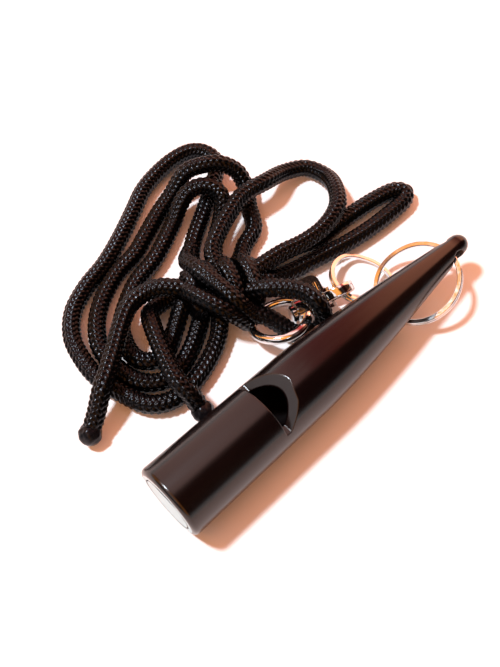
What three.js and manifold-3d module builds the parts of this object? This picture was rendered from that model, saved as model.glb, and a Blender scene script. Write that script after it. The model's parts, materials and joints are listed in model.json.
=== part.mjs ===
// A dog whistle with two split rings and a swivel snap, on a braided neck lanyard that lies in a loose pile.
// Millimetres, +Z up. The whistle lies along +X on the surface z = 0, mouthpiece at -X, and the lanyard lies at +Y.
import * as THREE from "three";
import { mergeVertices } from "three/addons/utils/BufferGeometryUtils.js";
import Module from "manifold-3d";

const wasm = await Module();
wasm.setup();

// Running gap between pieces that fit, link or rest on each other.
const FIT_GAP = 0.3;

// Whistle body: a slightly tapered barrel that draws in to a slim tail.
const BODY_LENGTH = 82.2;
const MOUTH_RADIUS = 7.62;
const MOUTH_EDGE = 1.0;
const BARREL_LENGTH = 34;
const BARREL_END_RADIUS = 7.15;
const TAIL_RADIUS = 2.2;
const NOSE_LENGTH = 2.4;
const TAPER_START_PULL = 0.3; // share of the taper's length over which the barrel's line carries on
const TAPER_START_FALL = 0.4;
const TAPER_END_PULL = 0.65;
const TAPER_END_RADIUS = 4.2;
const BODY_RISE = 1.0; // degrees that the axis climbs towards the tail, where the rings carry it
const BORE_RADIUS = 5.7;
const BORE_DEPTH = 41;
const BORE_CONE = 7;
const BORE_END_RADIUS = 2.5;

// Window: a square wall behind the windway, a narrow flat and a ramp that climbs to the top of the body.
const WINDOW_WALL = 23.5;
const WINDOW_FLAT = 1.1;
const RAMP_FOOT = 3.4;
const RAMP_RUN = 5.8;
const RAMP_RISE = 3.8;
const WINDWAY_HEIGHT = 1.3;

// Split rings: two turns of flat wire with a step between the turns.
const WIRE_WIDTH = 1.0;
const WIRE_HEIGHT = 0.7;
const TURN_GAP = 0.1;
const RING_STEP = 60; // degrees
const TAIL_RING_RADIUS = 8.9;
const TAIL_RING_YAW = 6; // degrees
const TAIL_RING_ROLL = 9; // degrees
const TAIL_RING_TURN = 100; // degrees from the hole to the middle of the step
const TAIL_HOLE_INSET = 4.9;
const TAIL_HOLE_RADIUS = 1.7;
const TAIL_HOLE_FLARE = 0.5;
const LINK_RING_RADIUS = 6.95;
const LINK_RING_PLACE = [62.9, 9.9, 2.85];
const LINK_RING_PITCH = 16; // degrees
const LINK_RING_TURN = 60; // degrees

// Swivel snap: a round eye with a boss, a headed stud in the boss, and a hook with a sprung gate.
const SNAP_PLACE = [42.6, 14.6, 3.7];
const SNAP_YAW = -17; // degrees
const SNAP_PITCH = 5; // degrees
const EYE_ROLL = -24; // degrees
const HOOK_ROLL = -68; // degrees
const EYE_RADIUS = 5.85;
const EYE_WIRE = 2.0;
const EYE_BOSS_RADIUS = 2.5;
const EYE_BOSS_START = 3.9;
const EYE_BOSS_LENGTH = 3.9;
const EYE_BOSS_CHAMFER = 0.5;
const STUD_RADIUS = 0.85;
const STUD_HEAD_RADIUS = 1.8;
const STUD_HEAD_LENGTH = 1.0;
const COLLAR_RADIUS = 2.0;
const COLLAR_LENGTH = 1.5;
const NECK_RADIUS = 1.4;
const HOOK_THICKNESS = 2.2;
const HOOK_BAR = 1.4;
const HOOK_OPENING_LENGTH = 4.8;
const HOOK_OPENING_WIDTH = 4.6;
const HOOK_EDGE = 0.35;
const KNUCKLE_RADIUS = 1.15;
const GATE_BAR = 1.1;
const GATE_PLATE = 0.8;
const GATE_PIN_RADIUS = 0.5;
const LEVER_LENGTH = 5.4;
const LEVER_HEIGHT = 4.8;

// Lanyard cord and its knot.
const CORD_DIAMETER = 4.0;
const CORD_SIDES = 10;
const CORD_STEP = 7.5;
const TIGHT_STEP = 4.2; // step along the cords that bend tightly
const TIGHT_CORDS = ["cord_hitch_loop", "cord_middle_loop"];
const MELT_RADIUS = 2.4;
const MELT_LENGTH = 4.2;
const KNOT_PLACE = [39.2, 27.7, 5.3];
const KNOT_TURN = -30; // degrees
const KNOT_CORE = [10.6, 5.6, 4.1];
// The knot's turns: place along the knot, tilt and lean in degrees, half width and half height at mid-cord.
const KNOT_TURNS = [
  [-7.0, 12, 8, 3.6, 2.5],
  [-2.6, 18, -6, 4.6, 2.9],
  [1.9, 14, 6, 4.7, 3.0],
  [6.2, 10, -5, 3.8, 2.6],
];

const materials = {
  body: { color: 0x2a1d1c, roughness: 0.18, metalness: 0 },
  plug: { color: 0x241a19, roughness: 0.22, metalness: 0 },
  steel: { color: 0xd5d3ce, roughness: 0.18, metalness: 1 },
  chrome: { color: 0xdcdad6, roughness: 0.1, metalness: 1 },
  cord: { color: 0x121113, roughness: 0.75, metalness: 0 },
  melt: { color: 0x17161a, roughness: 0.4, metalness: 0 },
};

const rad = THREE.MathUtils.degToRad;
const assembly = new THREE.Group();
const hardware = new THREE.Group();
const lanyard = new THREE.Group();
assembly.add(hardware, lanyard);

// A closed geometry as a manifold-3d solid.
function solid(geometry, matrix) {
  const bare = geometry.clone();
  bare.deleteAttribute("normal");
  bare.deleteAttribute("uv");
  if (matrix) bare.applyMatrix4(matrix);
  const merged = mergeVertices(bare, 1e-4);
  const mesh = new wasm.Mesh({
    numProp: 3,
    vertProperties: merged.attributes.position.array,
    triVerts: new Uint32Array(merged.index.array),
  });
  return new wasm.Manifold(mesh);
}

// A manifold-3d solid as a geometry with flat normals.
function geometryOf(made) {
  const mesh = made.getMesh();
  const geometry = new THREE.BufferGeometry();
  geometry.setAttribute("position", new THREE.BufferAttribute(mesh.vertProperties, 3));
  geometry.setIndex(new THREE.BufferAttribute(mesh.triVerts, 1));
  const flat = geometry.toNonIndexed();
  flat.computeVertexNormals();
  return flat;
}

function move(x, y, z) {
  return new THREE.Matrix4().makeTranslation(x, y, z);
}

function addMesh(name, geometry, finish, parent) {
  const mesh = new THREE.Mesh(geometry, new THREE.MeshStandardMaterial(materials[finish]));
  mesh.name = name;
  parent.add(mesh);
  return mesh;
}

// A turned piece whose axis is local +X, from an outline of (x, radius) points.
function turned(points, segments) {
  const profile = points.map(([x, radius]) => new THREE.Vector2(Math.max(radius, 0), x));
  const geometry = new THREE.LatheGeometry(profile, segments);
  geometry.rotateZ(-Math.PI / 2);
  return geometry;
}

function cylinderAlongX(radius, start, length, segments = 32) {
  return turned([[start, 0], [start, radius], [start + length, radius], [start + length, 0]], segments);
}

// Whistle

const whistle = new THREE.Group();
whistle.position.set(0, 0, MOUTH_RADIUS);
whistle.rotation.y = -rad(BODY_RISE);
hardware.add(whistle);

const tailHolePlace = BODY_LENGTH - TAIL_HOLE_INSET;

function bodyOutline() {
  const shoulder = BODY_LENGTH - NOSE_LENGTH;
  const run = shoulder - BARREL_LENGTH;
  const taper = new THREE.CubicBezierCurve(
    new THREE.Vector2(BARREL_LENGTH, BARREL_END_RADIUS),
    new THREE.Vector2(BARREL_LENGTH + run * TAPER_START_PULL, BARREL_END_RADIUS - TAPER_START_FALL),
    new THREE.Vector2(BARREL_LENGTH + run * TAPER_END_PULL, TAPER_END_RADIUS),
    new THREE.Vector2(shoulder, TAIL_RADIUS),
  );
  const points = [[0, 0], [0, MOUTH_RADIUS - MOUTH_EDGE]];
  for (let i = 1; i <= 4; i++) {
    const turn = (i / 4) * (Math.PI / 2);
    points.push([MOUTH_EDGE * (1 - Math.cos(turn)), MOUTH_RADIUS - MOUTH_EDGE * (1 - Math.sin(turn))]);
  }
  for (const p of taper.getPoints(22)) points.push([p.x, p.y]);
  for (let i = 1; i <= 6; i++) {
    const turn = (i / 6) * (Math.PI / 2);
    points.push([shoulder + NOSE_LENGTH * Math.sin(turn), i === 6 ? 0 : TAIL_RADIUS * Math.cos(turn)]);
  }
  return points;
}

function whistleBody() {
  const outer = solid(turned(bodyOutline(), 72));
  const bore = solid(
    turned(
      [
        [-1, 0],
        [-1, BORE_RADIUS],
        [BORE_DEPTH, BORE_RADIUS],
        [BORE_DEPTH + BORE_CONE, BORE_END_RADIUS],
        [BORE_DEPTH + BORE_CONE, 0],
      ],
      64,
    ),
  );
  const side = new THREE.Shape();
  const reach = 2;
  side.moveTo(WINDOW_WALL, RAMP_FOOT);
  side.lineTo(WINDOW_WALL + WINDOW_FLAT, RAMP_FOOT);
  side.lineTo(WINDOW_WALL + WINDOW_FLAT + RAMP_RUN * reach, RAMP_FOOT + RAMP_RISE * reach);
  side.lineTo(WINDOW_WALL, RAMP_FOOT + RAMP_RISE * reach);
  const wedge = new THREE.ExtrudeGeometry(side, { depth: 4 * MOUTH_RADIUS, bevelEnabled: false });
  wedge.translate(0, 0, -2 * MOUTH_RADIUS);
  wedge.rotateX(Math.PI / 2);
  const flare = TAIL_HOLE_RADIUS + 2 * TAIL_HOLE_FLARE;
  const hole = turned(
    [
      [-2 * TAIL_RADIUS, 0],
      [-2 * TAIL_RADIUS, flare],
      [-TAIL_RADIUS / 2, TAIL_HOLE_RADIUS],
      [TAIL_RADIUS / 2, TAIL_HOLE_RADIUS],
      [2 * TAIL_RADIUS, flare],
      [2 * TAIL_RADIUS, 0],
    ],
    28,
  );
  hole.rotateZ(Math.PI / 2);
  return geometryOf(
    outer
      .subtract(bore)
      .subtract(solid(wedge))
      .subtract(solid(hole, move(tailHolePlace, 0, 0))),
  );
}

function fipplePlug() {
  const radius = BORE_RADIUS - FIT_GAP;
  const plug = solid(cylinderAlongX(radius, 0, WINDOW_WALL, 64));
  const top = new THREE.BoxGeometry(WINDOW_WALL + 2, 2 * BORE_RADIUS, BORE_RADIUS);
  const floor = BORE_RADIUS - WINDWAY_HEIGHT;
  return geometryOf(plug.subtract(solid(top, move(WINDOW_WALL / 2, 0, floor + BORE_RADIUS / 2))));
}

addMesh("whistle_body", whistleBody(), "body", whistle);
addMesh("fipple_plug", fipplePlug(), "plug", whistle);

// Split rings

// Two turns of flat wire about local +Z, as one unbroken bar that steps from the lower turn to the upper.
function splitRing(radius, wireWidth, wireHeight, turnGap) {
  const lift = (wireHeight + turnGap) / 2;
  const half = RING_STEP / 2;
  const steps = 88;
  const w = wireWidth / 2;
  const h = wireHeight / 2;
  const chamfer = Math.min(w, h) * 0.35;
  const section = [
    [w, -h + chamfer],
    [w, h - chamfer],
    [w - chamfer, h],
    [-w + chamfer, h],
    [-w, h - chamfer],
    [-w, -h + chamfer],
    [-w + chamfer, -h],
    [w - chamfer, -h],
  ];
  const sides = section.length;
  const positions = [];
  const index = [];
  for (let i = 0; i <= steps; i++) {
    const turn = half + (i / steps) * (720 - 2 * RING_STEP);
    const along = THREE.MathUtils.clamp((turn - (360 - half)) / RING_STEP, 0, 1);
    const height = lift * (2 * THREE.MathUtils.smoothstep(along, 0, 1) - 1);
    const angle = rad(turn);
    for (const [out, up] of section) {
      const reach = radius + out;
      positions.push(reach * Math.cos(angle), reach * Math.sin(angle), height + up);
    }
  }
  for (let i = 0; i < steps; i++) {
    for (let j = 0; j < sides; j++) {
      const a = i * sides + j;
      const b = i * sides + ((j + 1) % sides);
      index.push(a, a + sides, b, b, a + sides, b + sides);
    }
  }
  const last = steps * sides;
  for (let j = 1; j < sides - 1; j++) {
    index.push(0, j, j + 1);
    index.push(last, last + j + 1, last + j);
  }
  const geometry = new THREE.BufferGeometry();
  geometry.setAttribute("position", new THREE.Float32BufferAttribute(positions, 3));
  geometry.setIndex(index);
  const flat = geometry.toNonIndexed();
  flat.computeVertexNormals();
  return flat;
}

const stackHeight = 2 * WIRE_HEIGHT + TURN_GAP;

// The tail ring hangs from the hole and slopes down until its far side lies on the surface.
const holeHeight = MOUTH_RADIUS + Math.sin(rad(BODY_RISE)) * tailHolePlace;
const ringDrop = holeHeight - (stackHeight / 2 + FIT_GAP);
const tailRingPitch = Math.asin(ringDrop / (2 * TAIL_RING_RADIUS));
const tailRing = new THREE.Group();
tailRing.position.set(Math.cos(rad(BODY_RISE)) * tailHolePlace, 0, holeHeight);
tailRing.rotation.order = "ZYX";
tailRing.rotation.z = -rad(TAIL_RING_YAW);
tailRing.rotation.y = -tailRingPitch;
tailRing.rotation.x = -rad(TAIL_RING_ROLL);
hardware.add(tailRing);
const tailRingMesh = addMesh(
  "tail_split_ring",
  splitRing(TAIL_RING_RADIUS, WIRE_WIDTH, WIRE_HEIGHT, TURN_GAP),
  "steel",
  tailRing,
);
tailRingMesh.position.x = -TAIL_RING_RADIUS;
tailRingMesh.rotation.z = rad(TAIL_RING_TURN);

const linkRing = new THREE.Group();
linkRing.position.set(...LINK_RING_PLACE);
linkRing.rotation.y = rad(LINK_RING_PITCH);
hardware.add(linkRing);
const linkRingMesh = addMesh(
  "link_split_ring",
  splitRing(LINK_RING_RADIUS, WIRE_WIDTH, WIRE_HEIGHT, TURN_GAP),
  "steel",
  linkRing,
);
linkRingMesh.rotation.z = rad(LINK_RING_TURN);

// Swivel snap: local +X runs from the eye to the tip of the hook, local +Z is the face of the hook

const snap = new THREE.Group();
snap.position.set(...SNAP_PLACE);
snap.rotation.order = "ZYX";
snap.rotation.z = rad(SNAP_YAW);
snap.rotation.y = -rad(SNAP_PITCH);
hardware.add(snap);
const eye = new THREE.Group();
eye.rotation.x = rad(EYE_ROLL);
snap.add(eye);
const hook = new THREE.Group();
hook.rotation.x = rad(HOOK_ROLL);
snap.add(hook);

const bossEnd = EYE_BOSS_START + EYE_BOSS_LENGTH;
const collarStart = bossEnd + FIT_GAP;
const collarEnd = collarStart + COLLAR_LENGTH;
const headEnd = EYE_BOSS_START - FIT_GAP;

function swivelEye() {
  const ring = new THREE.TorusGeometry(EYE_RADIUS, EYE_WIRE / 2, 14, 56);
  const boss = turned(
    [
      [EYE_BOSS_START, 0],
      [EYE_BOSS_START, EYE_BOSS_RADIUS],
      [bossEnd - EYE_BOSS_CHAMFER, EYE_BOSS_RADIUS],
      [bossEnd, EYE_BOSS_RADIUS - EYE_BOSS_CHAMFER],
      [bossEnd, 0],
    ],
    36,
  );
  const hole = cylinderAlongX(STUD_RADIUS + FIT_GAP, EYE_BOSS_START - 1, EYE_BOSS_LENGTH + 2, 24);
  return geometryOf(solid(ring).add(solid(boss)).subtract(solid(hole)));
}

addMesh("swivel_eye", swivelEye(), "chrome", eye);

// The hook's bar runs round the opening from the collar, by the side away from the gate, to the nose.
const openingStart = collarEnd + HOOK_BAR;
const openingMiddle = openingStart + HOOK_OPENING_LENGTH / 2;
const pivot = [openingStart - HOOK_BAR * 0.1, (HOOK_OPENING_WIDTH + HOOK_BAR) / 2];
const gateLength = HOOK_OPENING_LENGTH - HOOK_BAR * 0.5;

function upright(radius, height, segments) {
  const cylinder = new THREE.CylinderGeometry(radius, radius, height, segments);
  cylinder.rotateX(Math.PI / 2);
  return cylinder;
}

function hookBody() {
  const outline = new THREE.Shape();
  const outerLength = HOOK_OPENING_LENGTH / 2 + HOOK_BAR;
  const outerWidth = HOOK_OPENING_WIDTH / 2 + HOOK_BAR;
  outline.absellipse(openingMiddle, 0, outerLength, outerWidth, 0, 2 * Math.PI);
  const opening = new THREE.Path();
  opening.absellipse(openingMiddle, 0, HOOK_OPENING_LENGTH / 2, HOOK_OPENING_WIDTH / 2, 0, 2 * Math.PI, true);
  outline.holes.push(opening);
  const plate = new THREE.ExtrudeGeometry(outline, {
    depth: HOOK_THICKNESS - 2 * HOOK_EDGE,
    bevelThickness: HOOK_EDGE,
    bevelSize: HOOK_EDGE,
    bevelOffset: -HOOK_EDGE,
    bevelSegments: 2,
    curveSegments: 26,
  });
  plate.translate(0, 0, HOOK_EDGE - HOOK_THICKNESS / 2);
  const stud = turned(
    [
      [headEnd - STUD_HEAD_LENGTH, 0],
      [headEnd - STUD_HEAD_LENGTH, STUD_HEAD_RADIUS - HOOK_EDGE],
      [headEnd - STUD_HEAD_LENGTH + HOOK_EDGE, STUD_HEAD_RADIUS],
      [headEnd, STUD_HEAD_RADIUS],
      [headEnd, STUD_RADIUS],
      [collarStart, STUD_RADIUS],
      [collarStart, COLLAR_RADIUS],
      [collarEnd, COLLAR_RADIUS],
      [openingStart - HOOK_EDGE, NECK_RADIUS],
      [openingStart - HOOK_EDGE, 0],
    ],
    32,
  );
  const knuckle = solid(upright(KNUCKLE_RADIUS, HOOK_THICKNESS, 28), move(...pivot, 0));
  const mouthLength = gateLength - KNUCKLE_RADIUS;
  const mouth = new THREE.BoxGeometry(mouthLength, 3 * HOOK_BAR, 2 * HOOK_THICKNESS);
  const mouthPlace = move(pivot[0] + KNUCKLE_RADIUS + mouthLength / 2, pivot[1] + HOOK_BAR * 0.6, 0);
  const pinHole = upright(GATE_PIN_RADIUS + FIT_GAP / 2, 2 * HOOK_THICKNESS, 20);
  return geometryOf(
    solid(plate)
      .add(solid(stud))
      .subtract(solid(mouth, mouthPlace))
      .add(knuckle)
      .subtract(solid(pinHole, move(...pivot, 0))),
  );
}

// The gate straddles the hook at the pin. Its arm closes the mouth, and a tab bent up from the
// near ear and run back towards the eye is the thumb lever.
const earInner = HOOK_THICKNESS / 2 + FIT_GAP;
const earOuter = earInner + GATE_PLATE;

function gateLever() {
  const half = GATE_BAR / 2;
  const armStart = KNUCKLE_RADIUS + FIT_GAP;
  const tip = gateLength - FIT_GAP;
  const ear = new THREE.Shape();
  ear.absarc(0, 0, KNUCKLE_RADIUS, Math.PI / 2, (Math.PI * 3) / 2);
  ear.lineTo(armStart + half, -half);
  ear.lineTo(armStart + half, half);
  const ears = [earInner, -earOuter].map((low) => {
    const plate = new THREE.ExtrudeGeometry(ear, { depth: GATE_PLATE, bevelEnabled: false, curveSegments: 16 });
    return solid(plate, move(0, 0, low));
  });
  const arm = new THREE.Shape();
  arm.moveTo(armStart + half, -half);
  arm.lineTo(tip - half, -half);
  arm.absarc(tip - half, 0, half, -Math.PI / 2, Math.PI / 2);
  arm.lineTo(armStart, half);
  arm.lineTo(armStart, 0);
  const bar = new THREE.ExtrudeGeometry(arm, { depth: HOOK_THICKNESS, bevelEnabled: false, curveSegments: 10 });
  const bridge = new THREE.BoxGeometry(half, half, 2 * earOuter);
  const tab = new THREE.Shape();
  tab.moveTo(KNUCKLE_RADIUS, 0);
  tab.lineTo(KNUCKLE_RADIUS, LEVER_HEIGHT * 0.55);
  tab.quadraticCurveTo(KNUCKLE_RADIUS, LEVER_HEIGHT, -KNUCKLE_RADIUS, LEVER_HEIGHT);
  tab.lineTo(-LEVER_LENGTH * 0.8, LEVER_HEIGHT);
  tab.quadraticCurveTo(-LEVER_LENGTH, LEVER_HEIGHT, -LEVER_LENGTH, LEVER_HEIGHT * 0.75);
  tab.lineTo(-LEVER_LENGTH, LEVER_HEIGHT * 0.4);
  tab.lineTo(-KNUCKLE_RADIUS, 0);
  const lever = new THREE.ExtrudeGeometry(tab, { depth: GATE_PLATE, bevelEnabled: false, curveSegments: 8 });
  lever.rotateX(Math.PI / 2);
  const leverPlace = move(0, KNUCKLE_RADIUS, earInner);
  return geometryOf(
    ears[0]
      .add(ears[1])
      .add(solid(bar, move(0, 0, -HOOK_THICKNESS / 2)))
      .add(solid(bridge, move(armStart + half / 2, half / 2, 0)))
      .add(solid(lever, leverPlace))
      .subtract(solid(upright(GATE_PIN_RADIUS + FIT_GAP / 2, 4 * HOOK_THICKNESS, 20))),
  );
}

addMesh("hook_body", hookBody(), "chrome", hook);
const gate = addMesh("gate_lever", gateLever(), "chrome", hook);
gate.position.set(...pivot, 0);
const pin = addMesh("gate_pin", upright(GATE_PIN_RADIUS, 2 * earOuter, 20), "steel", hook);
pin.position.set(...pivot, 0);

// Lanyard knot: a core with turns of cord drawn round it

function lanyardKnot(grow) {
  const core = new THREE.SphereGeometry(1, 28, 18);
  core.scale(...KNOT_CORE.map((half) => half + grow));
  const thick = CORD_DIAMETER / 2 + grow;
  let made = solid(core);
  for (const [place, tilt, lean, across, high] of KNOT_TURNS) {
    const turn = new THREE.TorusGeometry(1, 1, 10, 36);
    const position = turn.attributes.position;
    for (let i = 0; i < position.count; i++) {
      const x = position.getX(i);
      const y = position.getY(i);
      const round = Math.atan2(y, x);
      const out = (Math.hypot(x, y) - 1) * thick;
      position.setXYZ(
        i,
        position.getZ(i) * thick,
        (across + out) * Math.cos(round),
        (high + out) * Math.sin(round),
      );
    }
    const pose = new THREE.Matrix4().makeRotationFromEuler(new THREE.Euler(0, rad(lean), rad(tilt)));
    pose.setPosition(place, 0, 0);
    made = made.add(solid(turn, pose));
  }
  return made;
}

const knot = new THREE.Group();
knot.position.set(...KNOT_PLACE);
knot.rotation.z = rad(KNOT_TURN);
knot.updateMatrix();
lanyard.add(knot);
addMesh("lanyard_knot", geometryOf(lanyardKnot(0)), "cord", knot);
const knotClearance = lanyardKnot(FIT_GAP).transform(knot.matrix.elements);

// Lanyard cord: each route is a list of points chosen by hand, and a smooth curve runs through them.
// The ends that the knot holds run on into it, and its clearance cuts them off at its surface.

const routes = {
  cord_outer_loop: [
    [37.0, 29.8, 4.4],
    [37.4, 35.0, 3.2],
    [42.2, 41.6, 2.1],
    [50.9, 47.3, 2.1],
    [57.8, 51.8, 2.1],
    [62.2, 55.7, 2.1],
    [62.5, 59.8, 2.1],
    [60.0, 62.6, 2.1],
    [55.6, 63.4, 2.1],
    [50.1, 62.8, 2.1],
    [44.6, 61.2, 2.1],
    [38.9, 58.0, 2.1],
    [32.3, 54.4, 2.1],
    [25.7, 51.4, 2.1],
    [19.0, 49.4, 2.1],
    [13.3, 46.4, 2.1],
    [9.4, 41.6, 2.1],
    [7.8, 35.8, 2.1],
    [7.6, 30.5, 2.1],
    [8.9, 25.0, 2.1],
    [10.9, 19.8, 2.1],
    [15.1, 16.9, 2.1],
    [20.8, 16.9, 2.1],
    [26.6, 18.6, 2.1],
    [31.4, 21.2, 2.4],
    [35.4, 24.8, 4.4],
  ],
  cord_inner_loop: [
    [43.2, 27.8, 4.2],
    [46.9, 31.2, 2.9],
    [50.8, 34.0, 2.1],
    [55.7, 36.1, 2.1],
    [58.8, 40.9, 2.1],
    [61.6, 44.8, 2.6],
    [62.2, 48.4, 5.2],
    [59.8, 51.4, 7.4],
    [56.3, 53.8, 7.6],
    [52.8, 55.7, 6.2],
    [48.2, 55.4, 2.8],
    [43.2, 53.9, 2.1],
    [37.2, 51.2, 2.1],
    [31.8, 48.8, 2.1],
    [26.4, 47.2, 2.1],
    [20.6, 44.4, 2.1],
    [15.9, 40.6, 2.1],
    [12.8, 35.8, 2.1],
    [12.1, 30.8, 2.1],
    [13.2, 26.0, 2.1],
    [16.4, 22.9, 2.1],
    [20.8, 22.6, 2.1],
    [25.4, 24.4, 2.1],
    [29.6, 26.5, 2.4],
    [33.8, 28.2, 4.2],
  ],
  cord_middle_loop: [
    [40.9, 29.9, 3.6],
    [43.4, 35.4, 2.2],
    [47.0, 39.4, 2.1],
    [51.6, 42.6, 2.6],
    [54.8, 45.7, 5.2],
    [54.0, 49.1, 6.5],
    [50.8, 51.3, 5.9],
    [47.3, 51.0, 4.3],
    [43.3, 49.3, 2.2],
    [38.8, 46.9, 2.1],
    [33.6, 44.6, 2.1],
    [28.3, 42.2, 2.1],
    [23.2, 39.6, 2.1],
    [19.4, 36.4, 2.1],
    [17.4, 32.8, 2.1],
    [17.0, 29.6, 2.1],
    [19.0, 27.5, 2.1],
    [22.0, 27.9, 2.1],
    [25.9, 29.7, 2.4],
    [30.8, 31.2, 4.8],
  ],
  cord_right_loop: [
    [39.8, 28.6, 6.4],
    [42.4, 34.8, 7.0],
    [47.0, 37.8, 7.1],
    [52.2, 40.0, 7.2],
    [57.6, 41.6, 7.2],
    [63.9, 41.2, 6.6],
    [70.9, 42.1, 3.4],
    [76.4, 40.2, 2.1],
    [77.8, 35.2, 2.4],
    [74.8, 29.6, 5.4],
    [70.4, 25.2, 6.9],
    [64.6, 23.4, 6.9],
    [58.6, 23.6, 6.8],
    [52.6, 24.8, 7.1],
    [44.4, 25.4, 7.4],
  ],
  cord_far_loop: [
    [44.6, 26.7, 4.6],
    [52.4, 27.3, 2.4],
    [58.6, 26.2, 2.1],
    [64.2, 24.3, 2.1],
    [70.5, 24.0, 2.1],
    [76.4, 23.6, 2.1],
    [81.8, 22.9, 2.1],
    [86.2, 21.7, 2.1],
    [87.6, 19.6, 2.1],
    [85.4, 18.2, 2.1],
    [80.6, 18.0, 2.1],
    [74.8, 18.2, 2.1],
    [68.6, 18.9, 2.1],
    [62.6, 20.2, 2.1],
    [57.4, 21.3, 2.1],
    [52.2, 22.4, 2.4],
    [44.8, 24.2, 4.6],
  ],
  cord_hitch_loop: [
    [41.4, 22.4, 7.4],
    [43.4, 19.9, 9.0],
    [45.4, 17.9, 9.4],
    [47.2, 15.6, 9.6],
    [48.3, 12.9, 9.8],
    [48.6, 10.2, 9.2],
    [48.6, 8.4, 7.1],
    [48.2, 7.7, 4.8],
    [46.7, 8.0, 2.8],
    [44.4, 9.2, 2.1],
    [42.9, 11.6, 2.5],
    [41.8, 14.4, 3.8],
    [40.4, 17.0, 5.3],
    [38.8, 19.1, 6.0],
    [38.0, 22.6, 6.2],
  ],
  cord_long_tail: [
    [0.1, 22.7, 3.4],
    [2.4, 23.9, 4.9],
    [5.6, 25.9, 7.1],
    [8.8, 28.0, 7.4],
    [12.8, 31.0, 7.1],
    [17.2, 34.4, 7.0],
    [21.4, 36.8, 7.1],
    [25.4, 37.0, 7.1],
    [28.6, 35.6, 7.5],
    [31.2, 33.0, 7.3],
    [34.6, 29.4, 6.5],
  ],
  cord_short_tail: [
    [35.4, 32.0, 4.4],
    [31.8, 34.7, 2.4],
    [28.0, 35.2, 2.3],
    [24.3, 34.2, 3.8],
    [21.9, 30.2, 6.6],
    [19.8, 25.2, 7.4],
    [18.1, 20.4, 7.5],
    [17.3, 17.0, 7.4],
    [17.6, 13.9, 6.2],
    [17.6, 11.7, 4.4],
  ],
};

// A uniform Catmull-Rom curve through the points, with its ends carried straight on.
class Route extends THREE.Curve {
  constructor(points) {
    super();
    this.points = points.map((p) => new THREE.Vector3(...p));
  }

  getPoint(t, target = new THREE.Vector3()) {
    const { points } = this;
    const spans = points.length - 1;
    const span = Math.min(Math.floor(t * spans), spans - 1);
    const u = t * spans - span;
    const b = points[span];
    const c = points[span + 1];
    const a = points[span - 1] ?? b.clone().multiplyScalar(2).sub(c);
    const d = points[span + 2] ?? c.clone().multiplyScalar(2).sub(b);
    const blend = (i) => {
      const [p, q, r, s] = [a, b, c, d].map((v) => v.getComponent(i));
      return 0.5 * (2 * q + (r - p) * u + (2 * p - 5 * q + 4 * r - s) * u ** 2 + (3 * q - p - 3 * r + s) * u ** 3);
    };
    return target.set(blend(0), blend(1), blend(2));
  }
}

function cordTube(points, step) {
  const path = new Route(points);
  const section = new THREE.Shape();
  for (let i = 0; i < CORD_SIDES; i++) {
    const turn = (i / CORD_SIDES) * 2 * Math.PI;
    const radius = CORD_DIAMETER / 2;
    const spot = [radius * Math.cos(turn), radius * Math.sin(turn)];
    if (i === 0) section.moveTo(...spot);
    else section.lineTo(...spot);
  }
  const steps = Math.ceil(path.getLength() / step);
  return new THREE.ExtrudeGeometry(section, { steps, extrudePath: path, bevelEnabled: false });
}

for (const [name, points] of Object.entries(routes)) {
  const step = TIGHT_CORDS.includes(name) ? TIGHT_STEP : CORD_STEP;
  addMesh(name, geometryOf(solid(cordTube(points, step)).subtract(knotClearance)), "cord", lanyard);
}

// The melted lump that seals a cut end of the cord, in line with the route's last stretch.
function addMelt(name, end, before) {
  const tip = new THREE.Vector3(...end);
  const direction = tip.clone().sub(new THREE.Vector3(...before)).normalize();
  const radius = MELT_RADIUS;
  const outline = [[FIT_GAP, 0], [FIT_GAP, radius * 0.8]];
  for (let i = 0; i <= 8; i++) {
    const turn = (i / 8) * (Math.PI / 2);
    outline.push([
      MELT_LENGTH * 0.35 + (MELT_LENGTH * 0.65) * Math.sin(turn),
      i === 8 ? 0 : radius * Math.cos(turn),
    ]);
  }
  const mesh = addMesh(name, turned(outline, 20), "melt", lanyard);
  mesh.position.copy(tip);
  mesh.quaternion.setFromUnitVectors(new THREE.Vector3(1, 0, 0), direction);
}

addMelt("long_tail_melt", routes.cord_long_tail[0], routes.cord_long_tail[1]);
addMelt("short_tail_melt", routes.cord_short_tail.at(-1), routes.cord_short_tail.at(-2));

// The origin is the middle of the base of the hard parts.
assembly.updateMatrixWorld(true);
const bounds = new THREE.Box3().setFromObject(hardware, true);
const middle = bounds.getCenter(new THREE.Vector3());
assembly.position.set(-middle.x, -middle.y, -bounds.min.z);
assembly.updateMatrixWorld(true);

export default assembly;
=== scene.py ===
import json
import math

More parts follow.
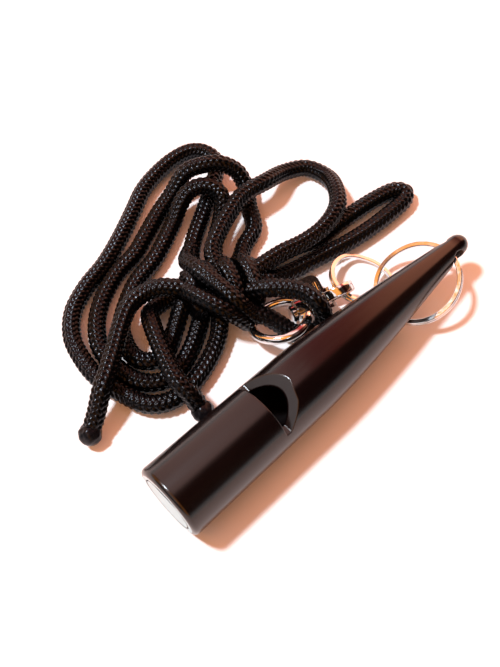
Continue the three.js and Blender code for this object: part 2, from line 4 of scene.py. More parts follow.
import bmesh
import bpy
import numpy as np
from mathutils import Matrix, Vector

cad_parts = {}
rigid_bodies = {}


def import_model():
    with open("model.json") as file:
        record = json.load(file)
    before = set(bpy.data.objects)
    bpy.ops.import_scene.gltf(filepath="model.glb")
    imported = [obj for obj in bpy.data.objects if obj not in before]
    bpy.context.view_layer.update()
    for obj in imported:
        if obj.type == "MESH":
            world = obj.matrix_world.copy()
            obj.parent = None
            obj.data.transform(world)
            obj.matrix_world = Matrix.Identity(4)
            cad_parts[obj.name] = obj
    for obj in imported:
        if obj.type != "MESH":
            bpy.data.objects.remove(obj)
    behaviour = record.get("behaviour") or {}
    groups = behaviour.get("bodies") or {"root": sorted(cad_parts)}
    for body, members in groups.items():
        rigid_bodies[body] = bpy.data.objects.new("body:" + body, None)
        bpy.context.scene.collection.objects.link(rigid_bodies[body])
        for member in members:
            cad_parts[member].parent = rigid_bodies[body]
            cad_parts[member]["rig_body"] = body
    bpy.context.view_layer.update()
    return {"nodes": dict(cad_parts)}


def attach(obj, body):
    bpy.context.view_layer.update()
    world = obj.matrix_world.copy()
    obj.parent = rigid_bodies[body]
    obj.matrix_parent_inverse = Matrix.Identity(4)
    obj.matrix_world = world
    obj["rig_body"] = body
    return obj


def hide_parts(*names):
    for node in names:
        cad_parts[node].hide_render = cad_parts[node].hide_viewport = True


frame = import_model()

MM = 0.001
# The frame's origin in the layout of the object, in millimetres.
ORIGIN = np.array([41.0360, 6.2180, -0.0124])


def place(points):
    """Layout points in millimetres as frame points in metres."""
    return (np.asarray(points, float) - ORIGIN) * MM


# Camera

FOCAL_PIXELS = 800.0
FRAME_PIXELS = 667.0
SENSOR = 36.0
CAMERA_TARGET = (37.40, 18.08, 0.0)  # layout point, millimetres
CAMERA_DISTANCE = 167.34  # millimetres
CAMERA_DOWN = 1.0652  # radians below level
CAMERA_TURN = 0.7591  # radians from +Y towards +X
NEAREST_SEEN = 0.01
FARTHEST_SEEN = 20


def aim(thing, direction):
    """Turns a camera or lamp to look along a direction."""
    thing.rotation_mode = "QUATERNION"
    thing.rotation_quaternion = direction.to_track_quat("-Z", "Y")
    bpy.context.scene.collection.objects.link(thing)


def make_camera():
    level = Vector((math.sin(CAMERA_TURN), math.cos(CAMERA_TURN), 0))
    look = level * math.cos(CAMERA_DOWN) - Vector((0, 0, math.sin(CAMERA_DOWN)))
    data = bpy.data.cameras.new("camera")
    data.lens = FOCAL_PIXELS / FRAME_PIXELS * SENSOR
    data.sensor_width = SENSOR
    data.clip_start = NEAREST_SEEN
    data.clip_end = FARTHEST_SEEN
    camera = bpy.data.objects.new("camera", data)
    camera.location = Vector(place(CAMERA_TARGET)) - look * CAMERA_DISTANCE * MM
    aim(camera, look)
    bpy.context.scene.camera = camera


make_camera()


# Materials

def grey(level):
    return (level,) * 3


def node_material(name):
    material = bpy.data.materials.new(name)
    material.use_nodes = True
    tree = material.node_tree
    shader = tree.nodes["Principled BSDF"]
    return material, tree, shader


def add(tree, kind, **values):
    """A new node. A value goes to the input of that name, or else to the node's own setting."""
    node = tree.nodes.new(kind)
    for key, value in values.items():
        if key in node.inputs:
            node.inputs[key].default_value = value
        else:
            setattr(node, key, value)
    return node


def ramp(tree, source, stops):
    """The colour of a ramp through (position, colour) stops at the source's value."""
    node = tree.nodes.new("ShaderNodeValToRGB")
    elements = node.color_ramp.elements
    while len(elements) < len(stops):
        elements.new(0.5)
    for element, (at, color) in zip(elements, stops):
        element.position = at
        element.color = (*color, 1)
    tree.links.new(source, node.inputs["Fac"])
    return node.outputs["Color"]


def noise(tree, scale, detail=3.0, stretch=(1, 1, 1)):
    coords = add(tree, "ShaderNodeTexCoord")
    mapping = add(tree, "ShaderNodeMapping", Scale=stretch)
    tree.links.new(coords.outputs["Object"], mapping.inputs["Vector"])
    node = add(tree, "ShaderNodeTexNoise", Scale=scale, Detail=detail)
    tree.links.new(mapping.outputs["Vector"], node.inputs["Vector"])
    return node.outputs["Fac"]


def bump(tree, shader, height, strength, distance):
    node = add(tree, "ShaderNodeBump", Strength=strength, Distance=distance)
    tree.links.new(height, node.inputs["Height"])
    tree.links.new(node.outputs["Normal"], shader.inputs["Normal"])


# Patches of colour are broad, and patches of wear are fine: noise cells for each metre.
PLASTIC_PATCHES = 60.0
PLASTIC_WEAR = 900.0
TURNING_MARKS = (0.08, 1, 1)  # wear drawn out along the whistle's axis
PLASTIC_IOR = 1.45
PLASTIC_SPECULAR = 0.65
EDGE_ROUNDING = 0.00035
EDGE_SAMPLES = 8
METAL_PATCHES = 240.0
METAL_WEAR = 1500.0
METAL_GRAIN = 700.0
METAL_SHADE = 0.86
CORD_PATCHES = 800.0
CORD_FIBRES = 5200.0
CORD_LIGHTER = 1.9
CORD_IOR = 1.3
CORD_SHEEN = (0.8, 0.85, 0.94, 1)
GRAIN_DETAIL = 2.0


def plastic(name, dark, light, roughness):
    material, tree, shader = node_material(name)
    color = ramp(tree, noise(tree, PLASTIC_PATCHES), [(0.3, dark), (0.75, light)])
    tree.links.new(color, shader.inputs["Base Color"])
    shades = [(0.35, grey(roughness)), (0.8, grey(roughness * 1.3))]
    wear = ramp(tree, noise(tree, PLASTIC_WEAR, stretch=TURNING_MARKS), shades)
    tree.links.new(wear, shader.inputs["Roughness"])
    shader.inputs["IOR"].default_value = PLASTIC_IOR
    shader.inputs["Specular IOR Level"].default_value = PLASTIC_SPECULAR
    edge = add(tree, "ShaderNodeBevel", samples=EDGE_SAMPLES, Radius=EDGE_ROUNDING)
    tree.links.new(edge.outputs["Normal"], shader.inputs["Normal"])
    return material


def metal(name, color, roughness, stretch=(1, 1, 1)):
    material, tree, shader = node_material(name)
    shader.inputs["Metallic"].default_value = 1.0
    shade = [c * METAL_SHADE for c in color]
    tint = ramp(tree, noise(tree, METAL_PATCHES), [(0.3, shade), (0.7, color)])
    tree.links.new(tint, shader.inputs["Base Color"])
    shades = [(0.3, grey(roughness)), (0.8, grey(roughness * 2.2))]
    wear = ramp(tree, noise(tree, METAL_WEAR, stretch=stretch), shades)
    tree.links.new(wear, shader.inputs["Roughness"])
    bump(tree, shader, noise(tree, METAL_GRAIN, GRAIN_DETAIL), 0.06, 0.0002)
    return material


def cord_material(name, color, roughness):
    material, tree, shader = node_material(name)
    stops = [(0.3, color), (0.75, [c * CORD_LIGHTER for c in color])]
    tint = ramp(tree, noise(tree, CORD_PATCHES), stops)
    tree.links.new(tint, shader.inputs["Base Color"])
    shader.inputs["Roughness"].default_value = roughness
    shader.inputs["IOR"].default_value = CORD_IOR
    shader.inputs["Specular Tint"].default_value = CORD_SHEEN
    bump(tree, shader, noise(tree, CORD_FIBRES, GRAIN_DETAIL), 0.2, 0.0001)
    return material


BLACK_PLASTIC = ((0.002, 0.0007, 0.0007), (0.0035, 0.001, 0.001))
# The mouth's end face is coloured pale as painted glare: the pale colour stands in for the bright light on that
# face.
PAINTED_GLARE_TONES = ((0.36, 0.56, 0.62), (0.44, 0.64, 0.69))
body_plastic = plastic("body plastic", *BLACK_PLASTIC, 0.2)
plug_plastic = plastic("plug plastic", *BLACK_PLASTIC, 0.2)
painted_glare_face = plastic("mouth face painted glare", *PAINTED_GLARE_TONES, 0.3)
ring_steel = metal("ring steel", (0.74, 0.76, 0.77), 0.09, (1, 1, 0.1))
snap_chrome = metal("snap chrome", (0.78, 0.79, 0.79), 0.07)
pin_steel = metal("pin steel", (0.66, 0.64, 0.60), 0.16)
cord_black = cord_material("cord black", (0.0003, 0.0003, 0.0004), 0.25)
cord_melted = cord_material("cord melted", (0.003, 0.0025, 0.003), 0.26)


# Rigid pieces

SMOOTHED_WELD = 0.000004
SMOOTHED_FLAT = math.radians(0.5)
SMOOTHED_CREASE = math.radians(32)


def body_of_node(name):
    return frame["nodes"][name]["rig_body"]


def finish_piece(piece, body, slot, materials, *nodes):
    for material in materials:
        piece.data.materials.append(material)
    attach(piece, body)
    if nodes:
        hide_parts(*nodes)
    return piece


def link_mesh(name, mesh):
    piece = bpy.data.objects.new(name, mesh)
    bpy.context.scene.collection.objects.link(piece)
    return piece


def smoothed(node, name, slot, material):
    """A copy of a CAD node's mesh in the node's place, smooth apart from its creases."""
    source = frame["nodes"][node]
    mesh = bpy.data.meshes.new(name)
    made = bmesh.new()
    made.from_mesh(source.data)
    bmesh.ops.remove_doubles(made, verts=made.verts, dist=SMOOTHED_WELD)
    bmesh.ops.dissolve_limit(made, angle_limit=SMOOTHED_FLAT, verts=made.verts, edges=made.edges)
    for face in made.faces:
        face.smooth = True
    for edge in made.edges:
        edge.smooth = len(edge.link_faces) == 2 and edge.calc_face_angle(0) < SMOOTHED_CREASE
    made.to_mesh(mesh)
    made.free()
    piece = link_mesh(name, mesh)
    return finish_piece(piece, body_of_node(node), slot, [material], node)


# Cord, in layout millimetres

CORD_DIAMETER = 4.0
BRAID_STRANDS = 8  # each way round
BRAID_PITCH = 9.6
BRAID_RELIEF = 0.4
BRAID_REPEAT = 4  # over two strands and under two
STRAND_NARROWING = 1.95
STRAND_ROUNDNESS = 0.6
RING_STEP = 0.22
RING_SIDES = 64
CURVE_STEPS = 40  # between two points of a route

ROUTES = {
    "outer_loop": [
        [37.0, 29.8, 4.4],
        [37.4, 35.0, 3.2],
        [42.2, 41.6, 2.1],
        [50.9, 47.3, 2.1],
        [57.8, 51.8, 2.1],
        [62.2, 55.7, 2.1],
        [62.5, 59.8, 2.1],
        [60.0, 62.6, 2.1],
        [55.6, 63.4, 2.1],
        [50.1, 62.8, 2.1],
        [44.6, 61.2, 2.1],
        [38.9, 58.0, 2.1],
        [32.3, 54.4, 2.1],
        [25.7, 51.4, 2.1],
        [19.0, 49.4, 2.1],
        [13.3, 46.4, 2.1],
        [9.4, 41.6, 2.1],
        [7.8, 35.8, 2.1],
        [7.6, 30.5, 2.1],
        [8.9, 25.0, 2.1],
        [10.9, 19.8, 2.1],
        [15.1, 16.9, 2.1],
        [20.8, 16.9, 2.1],
        [26.6, 18.6, 2.1],
        [31.4, 21.2, 2.4],
        [35.4, 24.8, 4.4],
    ],
    "inner_loop": [
        [43.2, 27.8, 4.2],
        [46.9, 31.2, 2.9],
        [50.8, 34.0, 2.1],
        [55.7, 36.1, 2.1],
        [58.8, 40.9, 2.1],
        [61.6, 44.8, 2.6],
        [62.2, 48.4, 5.2],
        [59.8, 51.4, 7.4],
        [56.3, 53.8, 7.6],
        [52.8, 55.7, 6.2],
        [48.2, 55.4, 2.8],
        [43.2, 53.9, 2.1],
        [37.2, 51.2, 2.1],
        [31.8, 48.8, 2.1],
        [26.1, 47.6, 2.1],
        [20.0, 44.8, 2.1],
        [15.2, 40.9, 2.1],
        [12.2, 36.0, 2.1],
        [11.7, 30.6, 2.1],
        [12.7, 25.2, 2.1],
        [16.0, 21.6, 2.1],
        [20.8, 21.2, 2.1],
        [25.7, 23.0, 2.1],
        [30.0, 25.6, 2.4],
        [33.8, 28.2, 4.2],
    ],
    "middle_loop": [
        [40.9, 29.9, 3.6],
        [43.4, 35.4, 2.2],
        [47.0, 39.4, 2.1],
        [51.6, 42.6, 2.6],
        [54.8, 45.7, 5.2],
        [54.0, 49.1, 6.5],
        [50.8, 51.3, 5.9],
        [47.3, 51.0, 4.3],
        [43.3, 49.3, 2.2],
        [38.8, 46.9, 2.1],
        [33.6, 44.6, 2.1],
        [27.6, 43.0, 2.1],
        [22.6, 40.2, 2.1],
        [18.4, 36.8, 2.1],
        [16.3, 32.6, 2.1],
        [16.0, 28.6, 2.1],
        [18.4, 26.0, 2.1],
        [22.0, 26.2, 2.1],
        [26.1, 28.6, 2.4],
        [30.8, 31.2, 4.8],
    ],
    "right_loop": [
        [39.8, 28.6, 6.4],
        [42.4, 34.8, 7.0],
        [47.0, 37.8, 7.1],
        [52.2, 40.0, 7.2],
        [57.6, 41.6, 7.2],
        [63.9, 41.2, 6.6],
        [70.9, 42.1, 3.4],
        [76.4, 40.2, 2.1],
        [77.8, 35.2, 2.4],
        [74.8, 29.6, 5.4],
        [70.4, 25.2, 6.9],
        [64.6, 23.4, 6.9],
        [58.6, 23.6, 6.8],
        [52.6, 24.8, 7.1],
        [44.4, 25.4, 7.4],
    ],
    "far_loop": [
        [44.6, 26.7, 4.6],
        [52.4, 27.3, 2.4],
        [58.6, 26.2, 2.1],
        [64.2, 24.3, 2.1],
        [70.5, 24.0, 2.1],
        [76.4, 23.6, 2.1],
        [81.8, 22.9, 2.1],
        [86.2, 21.7, 2.1],
        [87.6, 19.6, 2.1],
        [85.4, 18.2, 2.1],
        [80.6, 18.0, 2.1],
        [74.8, 18.2, 2.1],
        [68.6, 18.9, 2.1],
        [62.6, 20.2, 2.1],
        [57.4, 21.3, 2.1],
        [52.2, 22.4, 2.4],
        [44.8, 24.2, 4.6],
    ],
    "hitch_loop": [
        [41.4, 22.4, 7.4],
        [43.4, 19.9, 9.0],
        [45.4, 17.9, 9.4],
        [47.2, 15.6, 9.6],
        [48.3, 12.9, 9.8],
        [48.6, 10.2, 9.2],
        [48.6, 8.4, 7.1],
        [48.2, 7.7, 4.8],
        [46.7, 8.0, 2.8],
        [44.4, 9.2, 2.1],
        [42.9, 11.6, 2.5],
        [41.8, 14.4, 3.8],
        [40.4, 17.0, 5.3],
        [38.8, 19.1, 6.0],
        [38.0, 22.6, 6.2],
    ],
    "long_tail": [
        [0.1, 22.7, 3.4],
        [2.4, 23.9, 4.9],
        [5.6, 25.9, 7.1],
        [8.8, 28.0, 7.4],
        [12.8, 31.0, 7.1],
        [17.2, 34.4, 7.0],
        [21.4, 36.8, 7.1],
        [25.4, 37.0, 7.1],
        [28.6, 35.6, 7.5],
        [31.2, 33.0, 7.3],
        [34.6, 29.4, 6.5],
    ],
    "short_tail": [
        [35.4, 32.0, 4.4],
        [31.8, 34.7, 2.4],
        [28.0, 35.2, 2.3],
        [24.3, 34.2, 3.8],
        [21.9, 30.2, 6.6],
        [19.8, 25.2, 7.4],
        [18.1, 20.4, 7.5],
        [17.3, 17.0, 7.4],
        [17.6, 13.9, 6.2],
        [17.6, 11.7, 4.4],
    ],
}


def smooth_route(points, step):
    """A uniform Catmull-Rom curve through the points, at equal steps along its length, and that length."""
    knots = np.asarray(points, float)
    knots = np.vstack([2 * knots[0] - knots[1], knots, 2 * knots[-1] - knots[-2]])
    fine = []
    for i in range(1, len(knots) - 2):
        p, q, r, s = knots[i - 1 : i + 3]
        for u in np.linspace(0, 1, CURVE_STEPS, endpoint=False):
            square = (2 * p - 5 * q + 4 * r - s) * u**2
            cube = (3 * q - p - 3 * r + s) * u**3
            fine.append(0.5 * (2 * q + (r - p) * u + square + cube))
    fine.append(knots[-2])
    fine = np.array(fine)
    lengths = np.concatenate([[0], np.cumsum(np.linalg.norm(np.diff(fine, axis=0), axis=1))])
    count = max(2, int(round(lengths[-1] / step)))
    at = np.linspace(0, lengths[-1], count + 1)
    return np.stack([np.interp(at, lengths, fine[:, k]) for k in range(3)], axis=1), lengths[-1]


def across_path(path):
    """Two directions square to the path at each of its points, which turn as little as they can."""
    tangents = np.gradient(path, axis=0)
    tangents /= np.linalg.norm(tangents, axis=1)[:, None]
    start = np.array([0.0, 0.0, 1.0])
    side = start - tangents[0] * (start @ tangents[0])
    side /= np.linalg.norm(side)
    sides = [side]
    for tangent in tangents[1:]:
        side = sides[-1] - tangent * (sides[-1] @ tangent)
        side /= np.linalg.norm(side)
        sides.append(side)
    sides = np.array(sides)
    return sides, np.cross(tangents, sides)


def strand_height(reach, across):
    """Height of a strand, 0 to 1, at a share of its run over the others and off its middle line."""
    section = np.sqrt(np.clip(1 - (STRAND_NARROWING * across) ** 2, 0, 1))
    return np.sin(np.pi * reach) ** STRAND_ROUNDNESS * section


def braid_height(turn, along):
    """Relief of a round braid whose strands pass over two and under two."""
    a = BRAID_STRANDS * (turn + along / BRAID_PITCH)
    b = BRAID_STRANDS * (turn - along / BRAID_PITCH)
    i, j = np.floor(a), np.floor(b)
    over = BRAID_REPEAT / 2
    reach_a = np.clip(np.mod(i + b, BRAID_REPEAT) / over, 0, 1)
    reach_b = np.clip((np.mod(a + j, BRAID_REPEAT) - over) / over, 0, 1)
    first = np.mod(i + j, BRAID_REPEAT) < over
    return np.where(first, strand_height(reach_a, a - i - 0.5), strand_height(reach_b, b - j - 0.5))


def braided_tube(name, path, diameter=CORD_DIAMETER):
    """A tube along a path in millimetres whose surface carries the braid's relief."""
    rings = len(path)
    sides, ups = across_path(path)
    along = np.concatenate([[0], np.cumsum(np.linalg.norm(np.diff(path, axis=0), axis=1))])
    turn = np.arange(RING_SIDES) / RING_SIDES
    height = braid_height(turn[None, :], along[:, None])
    radius = diameter / 2 - BRAID_RELIEF + BRAID_RELIEF * height
    angle = 2 * np.pi * turn
    cosine, sine = np.cos(angle)[None, :, None], np.sin(angle)[None, :, None]
    out = sides[:, None] * cosine + ups[:, None] * sine
    points = place((path[:, None] + out * radius[:, :, None]).reshape(-1, 3))
    points = np.vstack([points, place(path[:1]), place(path[-1:])])
    i, j = np.meshgrid(np.arange(rings - 1), np.arange(RING_SIDES), indexing="ij")
    k = (j + 1) % RING_SIDES
    here, ahead = i * RING_SIDES, (i + 1) * RING_SIDES
    faces = np.stack([here + j, here + k, ahead + k, ahead + j], axis=-1).reshape(-1, 4).tolist()
    last = (rings - 1) * RING_SIDES
    for j in range(RING_SIDES):
        k = (j + 1) % RING_SIDES
        faces.append([k, j, rings * RING_SIDES])
        faces.append([last + j, last + k, rings * RING_SIDES + 1])
    mesh = bpy.data.meshes.new(name)
    mesh.from_pydata(points.tolist(), [], faces)
    mesh.shade_smooth()
    return link_mesh(name, mesh)


# Knot

KNOT_PLACE = np.array([39.2, 27.7, 5.3])
knot_yaw = math.radians(-30.0)
KNOT_AXES = np.array(
    [
        [math.cos(knot_yaw), math.sin(knot_yaw), 0],
        [-math.sin(knot_yaw), math.cos(knot_yaw), 0],
        [0, 0, 1],
    ]
)
KNOT_TURNS = 3.9
KNOT_LENGTH = 15.6
KNOT_START = 0.6  # radians
KNOT_POINTS = 80
KNOT_LEAN = 0.9
KNOT_HALF_WIDTH = 5.4
KNOT_HALF_HEIGHT = 2.9
KNOT_END_NARROWING = 1.3
KNOT_END_FLATTENING = 0.5
CORE_DIAMETER = 5.4
# Points of the core in the knot's own axes.
KNOT_CORE = [
    (-10, 1.2, -1.2),
    (-6, 0.8, -0.6),
    (-2, -0.4, 0.2),
    (2, 0.3, 0.3),
    (6, 0.2, -0.2),
    (10, -0.9, -1.0),
]
# Two strands that lie over the knot's turns, in the layout.
KNOT_OVERS = {
    "left": [
        [32.4, 34.6, 4.5],
        [32.0, 30.7, 8.0],
        [32.5, 26.0, 9.6],
        [34.0, 22.0, 9.0],
        [36.0, 19.6, 6.6],
        [37.4, 18.4, 4.0],
    ],
    "right": [
        [42.4, 41.6, 2.1],
        [39.6, 39.9, 3.0],
        [37.2, 36.8, 6.6],
        [36.4, 32.3, 9.6],
        [36.5, 26.5, 10.4],
        [37.0, 21.8, 9.4],
        [38.4, 18.9, 6.4],
        [39.6, 17.6, 5.0],
    ],
}


def knot_point(u, v, w):
    return KNOT_PLACE + np.array([u, v, w]) @ KNOT_AXES


def knot_turn_point(t):
    """A point of the turns round the core, at a share of the knot's length."""
    angle = 2 * np.pi * KNOT_TURNS * t + KNOT_START
    u = -KNOT_LENGTH / 2 + KNOT_LENGTH * t
    end = (2 * t - 1) ** 2
    wide = KNOT_HALF_WIDTH - KNOT_END_NARROWING * end
    high = KNOT_HALF_HEIGHT - KNOT_END_FLATTENING * end
    return knot_point(u + KNOT_LEAN * math.sin(angle), wide * math.cos(angle), high * math.sin(angle))


def knot_piece(name, points, diameter=CORD_DIAMETER):
    path, _ = smooth_route(points, RING_STEP)
    piece = braided_tube(name, path, diameter)
    return finish_piece(piece, "lanyard", "cord_braid", [cord_black], "lanyard_knot")


def make_knot():
    """Turns of cord drawn tight round a core, with two strands over them."""
    wraps = knot_piece("knot_wraps", [knot_turn_point(t) for t in np.linspace(0, 1, KNOT_POINTS)])
    core = knot_piece("knot_core", [knot_point(*p) for p in KNOT_CORE], CORE_DIAMETER)
    overs = [knot_piece("knot_over_" + side, points) for side, points in KNOT_OVERS.items()]
    return [wraps, core, *overs]


knot_pieces = make_knot()


# Free stretches and cut ends of the cord

def make_cord(name):
    path, length = smooth_route(ROUTES[name], RING_STEP)
    piece = braided_tube("lanyard_" + name, path)
    finish_piece(piece, "lanyard", "cord_braid", [cord_black], "cord_" + name)


MELT_RADIUS = 2.25
MELT_HALF_LENGTH = 2.3
MELT_MIDDLE = 1.5  # past the end of the cord
MELT_AROUND, MELT_RINGS = 40, 28


def round_ball():
    """Points and faces of a unit ball, always in the same order."""
    points = [(0.0, 0.0, 1.0)]
    for down in np.linspace(0, math.pi, MELT_RINGS + 1)[1:-1]:
        for around in np.arange(MELT_AROUND) * (2 * math.pi / MELT_AROUND):
            flat = math.sin(down)
            points.append((flat * math.cos(around), flat * math.sin(around), math.cos(down)))
    points.append((0.0, 0.0, -1.0))
    rings = [range(start, start + MELT_AROUND) for start in range(1, len(points) - 1, MELT_AROUND)]
    faces = []
    for j in range(MELT_AROUND):
        k = (j + 1) % MELT_AROUND
        faces.append((0, rings[0][j], rings[0][k]))
        faces += [(above[j], below[j], below[k], above[k]) for above, below in zip(rings, rings[1:])]
        faces.append((rings[-1][j], len(points) - 1, rings[-1][k]))
    return points, faces


MELT_SPHERE, MELT_FACES = round_ball()


def melted_end(name, node, end, before):
    """The blob that seals a cut end, wider than the cord and dimpled where the strands ran together."""
    tip = np.asarray(end, float)
    direction = tip - np.asarray(before, float)
    direction /= np.linalg.norm(direction)
    turn = Vector((0, 0, 1)).rotation_difference(Vector(direction)).to_matrix()
    points = []
    for x, y, z in MELT_SPHERE:
        around = math.atan2(y, x)
        lumps = 1 + 0.045 * math.sin(5 * around + 3 * z) + 0.03 * math.sin(9 * around - 7 * z)
        wide = MELT_RADIUS * lumps
        local = Vector((x * wide, y * wide, MELT_MIDDLE + z * MELT_HALF_LENGTH))
        points.append(Vector(place(tip)) + (turn @ local) * MM)
    mesh = bpy.data.meshes.new(name)
    mesh.from_pydata(points, [], MELT_FACES)
    mesh.shade_smooth()
    piece = link_mesh(name, mesh)
    return finish_piece(piece, "lanyard", "cord_melt", [cord_melted], node)


long_tail, short_tail = ROUTES["long_tail"], ROUTES["short_tail"]
long_melt = melted_end("long_tail_seal", "long_tail_melt", long_tail[0], long_tail[1])
short_melt = melted_end("short_tail_seal", "short_tail_melt", short_tail[-1], short_tail[-2])

make_cord("hitch_loop")
make_cord("outer_loop")
make_cord("inner_loop")
make_cord("middle_loop")
make_cord("right_loop")
make_cord("far_loop")
make_cord("long_tail")
make_cord("short_tail")


# Whistle body, in millimetres from its mouth along its axis

BODY_LENGTH = 82.2
MOUTH_RADIUS = 7.62
MOUTH_EDGE = 1.0
BARREL_LENGTH = 34.0
BARREL_END_RADIUS = 7.15
TAIL_RADIUS = 2.2
NOSE_LENGTH = 2.4
BODY_RISE = 1.0  # degrees
SHOULDER = BODY_LENGTH - NOSE_LENGTH
TAPER_RUN = SHOULDER - BARREL_LENGTH
# The taper is a Bezier curve through these places and radii.
TAPER_PLACES = [BARREL_LENGTH, BARREL_LENGTH + TAPER_RUN * 0.3, BARREL_LENGTH + TAPER_RUN * 0.65, SHOULDER]
TAPER_RADII = [BARREL_END_RADIUS, BARREL_END_RADIUS - 0.4, 4.2, TAIL_RADIUS]
HALVINGS = 24


def weighted(weights, values):
    return sum(w * v for w, v in zip(weights, values))


def differences(values):
    return [q - p for p, q in zip(values, values[1:])]


def cubic_weights(t):
    return (1 - t) ** 3, 3 * t * (1 - t) ** 2, 3 * t * t * (1 - t), t**3


def quadratic_weights(t):
    return (1 - t) ** 2, 2 * t * (1 - t), t * t


def outline_at(x):
    """Radius and slope of the body's outline at x."""
    if x < MOUTH_EDGE:
        back = 1 - x / MOUTH_EDGE
        reach = math.sqrt(max(1e-3, 1 - back**2))
        return MOUTH_RADIUS - MOUTH_EDGE * (1 - reach), back / reach
    if x < BARREL_LENGTH:
        slope = (BARREL_END_RADIUS - MOUTH_RADIUS) / (BARREL_LENGTH - MOUTH_EDGE)
        return MOUTH_RADIUS + slope * (x - MOUTH_EDGE), slope
    if x > SHOULDER:
        along = min(0.999, (x - SHOULDER) / NOSE_LENGTH)
        level = math.sqrt(1 - along**2)
        return TAIL_RADIUS * level, -TAIL_RADIUS / NOSE_LENGTH * along / level
    low, high = 0.0, 1.0
    for _ in range(HALVINGS):
        t = (low + high) / 2
        low, high = (t, high) if weighted(cubic_weights(t), TAPER_PLACES) < x else (low, t)
    t = (low + high) / 2
    forward = weighted(quadratic_weights(t), differences(TAPER_PLACES))
    outward = weighted(quadratic_weights(t), differences(TAPER_RADII))
    return weighted(cubic_weights(t), TAPER_RADII), outward / forward


rise = math.radians(BODY_RISE)
BODY_AXES = np.array([[math.cos(rise), 0, math.sin(rise)], [0, 1, 0], [-math.sin(rise), 0, math.cos(rise)]])
TURNED_WELD = 0.000002
FACE_NEAR_OUTLINE = 0.3
CORNER_ON_OUTLINE = 0.12
OUTER_START = 0.01
# These pick out the mouth's end face, which carries the pale painted glare.
MOUTH_FACE_DEPTH = 0.02
MOUTH_FACE_FLAT = -0.9  # of the face's normal along the axis
OUTER_FACING = 0.05  # of the face's normal away from the axis
BORE_FACING = -0.95


def turned_piece(node, name, slot, material):
    """A copy of a turned CAD piece whose round faces carry the exact normals of the turned outline."""
    source = frame["nodes"][node]
    mesh = source.data.copy()
    mesh.name = name
    made = bmesh.new()
    made.from_mesh(mesh)
    bmesh.ops.remove_doubles(made, verts=made.verts, dist=TURNED_WELD)
    made.to_mesh(mesh)
    made.free()
    mesh.materials.clear()
    points = np.array([v.co for v in mesh.vertices]) / MM + ORIGIN - np.array([0, 0, MOUTH_RADIUS])
    local = points @ BODY_AXES.T
    normals = [(0.0, 0.0, 0.0)] * len(mesh.loops)
    for face in mesh.polygons:
        face.use_smooth = True
        flat = BODY_AXES @ np.array(face.normal)
        corners = local[list(face.vertices)]
        middle = corners.mean(axis=0)
        around = math.hypot(middle[1], middle[2])
        outward = (flat[1] * middle[1] + flat[2] * middle[2]) / max(around, 1e-6)
        near = abs(around - outline_at(middle[0])[0]) < FACE_NEAR_OUTLINE
        outer = outward > OUTER_FACING and near and middle[0] > OUTER_START
        on_mouth = middle[0] < MOUTH_FACE_DEPTH and flat[0] < MOUTH_FACE_FLAT
        # Faces on the mouth's end face take the pale painted glare.
        face.material_index = 1 if on_mouth else 0
        for loop, corner in zip(face.loop_indices, corners):
            normal = flat
            radius, slope = outline_at(corner[0])
            turn = math.atan2(corner[2], corner[1])
            if outer and abs(math.hypot(corner[1], corner[2]) - radius) < CORNER_ON_OUTLINE:
                normal = np.array([-slope, math.cos(turn), math.sin(turn)])
                normal /= np.linalg.norm(normal)
            elif outward < BORE_FACING:
                normal = np.array([0, -math.cos(turn), -math.sin(turn)])
            normals[loop] = tuple(BODY_AXES.T @ normal)
    mesh.normals_split_custom_set(normals)
    piece = link_mesh(name, mesh)
    return finish_piece(piece, body_of_node(node), slot, [material, painted_glare_face], node)


turned_piece("whistle_body", "whistle_shell", "body_plastic", body_plastic)
turned_piece("fipple_plug", "fipple_insert", "plug_plastic", plug_plastic)
smoothed("tail_split_ring", "tail_ring", "ring_steel", ring_steel)
smoothed("link_split_ring", "link_ring", "ring_steel", ring_steel)
smoothed("swivel_eye", "snap_eye", "snap_chrome", snap_chrome)
smoothed("hook_body", "snap_hook", "snap_chrome", snap_chrome)
smoothed("gate_lever", "snap_gate", "snap_chrome", snap_chrome)
smoothed("gate_pin", "snap_pin", "ring_steel", pin_steel)


# Floor

FLOOR_HALF = 1.5
FLOOR_DROP = 0.0002
FLOOR_COLOR = (0.95, 0.92, 0.9, 1)
FLOOR_ROUGHNESS = 0.9
FLOOR_SPECULAR = 0.1
# The floor's own light by distance from the origin in metres, so that the far floor stays white.
FLOOR_GLOW = [(0.16, grey(0.015)), (0.55, grey(1.0))]


def combine(tree, operation, first, second):
    node = add(tree, "ShaderNodeMath", operation=operation)
    tree.links.new(first, node.inputs[0])
    tree.links.new(second, node.inputs[1])
    return node.outputs["Value"]


def make_floor():
    mesh = bpy.data.meshes.new("floor")
    half = FLOOR_HALF
    mesh.from_pydata([(-half, -half, 0), (half, -half, 0), (half, half, 0), (-half, half, 0)], [], [(0, 1, 2, 3)])
    floor = link_mesh("floor", mesh)
    floor.location.z = -FLOOR_DROP
    material, tree, shader = node_material("floor white")
    shader.inputs["Base Color"].default_value = FLOOR_COLOR
    shader.inputs["Roughness"].default_value = FLOOR_ROUGHNESS
    shader.inputs["Specular IOR Level"].default_value = FLOOR_SPECULAR
    shader.inputs["Emission Color"].default_value = (1, 1, 1, 1)
    coords = add(tree, "ShaderNodeTexCoord")
    distance = add(tree, "ShaderNodeVectorMath", operation="LENGTH")
    tree.links.new(coords.outputs["Object"], distance.inputs[0])
    glow = ramp(tree, distance.outputs["Value"], FLOOR_GLOW)
    path = add(tree, "ShaderNodeLightPath")
    seen = path.outputs["Is Camera Ray"]
    for kind in ("Is Glossy Ray", "Is Transmission Ray"):
        seen = combine(tree, "MAXIMUM", seen, path.outputs[kind])
    strength = combine(tree, "MULTIPLY", glow, seen)
    tree.links.new(strength, shader.inputs["Emission Strength"])
    floor.data.materials.append(material)


make_floor()


# Lamp

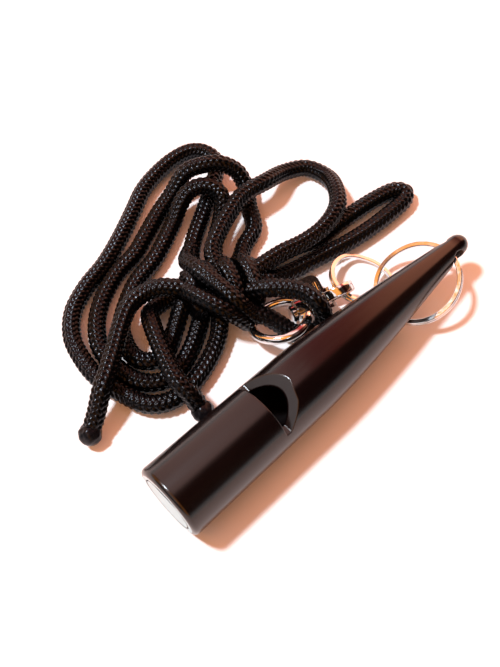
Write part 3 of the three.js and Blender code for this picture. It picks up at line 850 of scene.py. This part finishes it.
LAMP_PLACE = Vector((-0.20, 0.245, 0.625))
LAMP_TARGET = Vector((0, 0.02, 0))
LAMP_SIDE = 0.07
LAMP_POWER = 5.4
LAMP_COLOR = (0.8, 0.9, 1.0)


def make_lamp():
    data = bpy.data.lights.new("key", "AREA")
    data.shape = "RECTANGLE"
    data.size = data.size_y = LAMP_SIDE
    data.energy = LAMP_POWER
    data.color = LAMP_COLOR
    lamp = bpy.data.objects.new("key", data)
    lamp.location = LAMP_PLACE
    aim(lamp, LAMP_TARGET - LAMP_PLACE)


make_lamp()


# World: a plain room whose light depends on the direction. In every ramp 0 to 1 stands for -1 to 1.

DARK_ROOM = (0.03, 0.02, 0.015)
GREY_ROOM = (1.5, 1.3, 1.3)
WARM_ROOM = (1.5, 0.53, 0.11)
ROOM_EDGE = (0.3, 0.1, 0.05)
PALE_CEILING = (1.73, 1.07, 0.96)
RED_WALL = (0.7, 0.08, 0.07)
LIT_WALL = (3.2, 1.2, 0.7)
WHITE = (1, 1, 1)
BLACK = (0, 0, 0)
ROOM_SHADES = [
    (0.17, DARK_ROOM),
    (0.2, WARM_ROOM),
    (0.44, WARM_ROOM),
    (0.5, ROOM_EDGE),
    (0.56, PALE_CEILING),
    (0.65, PALE_CEILING),
    (0.7, RED_WALL),
    (0.78, RED_WALL),
    (0.84, LIT_WALL),
]
LIT_BEHIND = [(0.41, grey(0.02)), (0.46, grey(1.0))]
LIT_BESIDE = [(0.40, grey(1.0)), (0.50, grey(0.02))]
HIGH_WALL = [(0.76, DARK_ROOM), (0.79, GREY_ROOM), (0.87, GREY_ROOM), (0.9, DARK_ROOM)]
FAR_SIDE = [(0.18, WHITE), (0.2, BLACK)]
BELOW_HORIZON = [(0.55, WHITE), (0.6, BLACK)]
# Sockets of the mix node in its colour form.
MIX_SHARE, MIX_FIRST, MIX_SECOND, MIX_RESULT = 0, 6, 7, 2


def mix(tree, first, second, share=1.0, blend_type="MIX"):
    """Two colours mixed; each input is a node's output or a plain value."""
    node = add(tree, "ShaderNodeMix", data_type="RGBA", blend_type=blend_type)
    for socket, value in ((MIX_SHARE, share), (MIX_FIRST, first), (MIX_SECOND, second)):
        if isinstance(value, bpy.types.NodeSocket):
            tree.links.new(value, node.inputs[socket])
        else:
            node.inputs[socket].default_value = value
    return node.outputs[MIX_RESULT]


def make_world():
    world = bpy.data.worlds.new("world")
    world.use_nodes = True
    tree = world.node_tree
    coords = add(tree, "ShaderNodeTexCoord")
    parts = add(tree, "ShaderNodeSeparateXYZ")
    tree.links.new(coords.outputs["Generated"], parts.inputs["Vector"])

    def by(axis, stops):
        """A ramp over a direction's component."""
        shift = add(tree, "ShaderNodeMath", operation="MULTIPLY_ADD")
        shift.inputs[1].default_value = 0.5
        shift.inputs[2].default_value = 0.5
        tree.links.new(parts.outputs[axis], shift.inputs[0])
        return ramp(tree, shift.outputs["Value"], stops)

    room = mix(tree, by("X", ROOM_SHADES), by("Z", HIGH_WALL), by("X", FAR_SIDE))
    lit = mix(tree, by("Y", LIT_BEHIND), by("X", LIT_BESIDE), blend_type="LIGHTEN")
    light = mix(tree, room, lit, blend_type="MULTIPLY")
    glow = mix(tree, light, (*WHITE, 1), by("Z", BELOW_HORIZON))
    background = tree.nodes["Background"]
    tree.links.new(glow, background.inputs["Color"])
    background.inputs["Strength"].default_value = 1.0
    bpy.context.scene.world = world


make_world()
bpy.context.scene.view_settings.view_transform = "Standard"
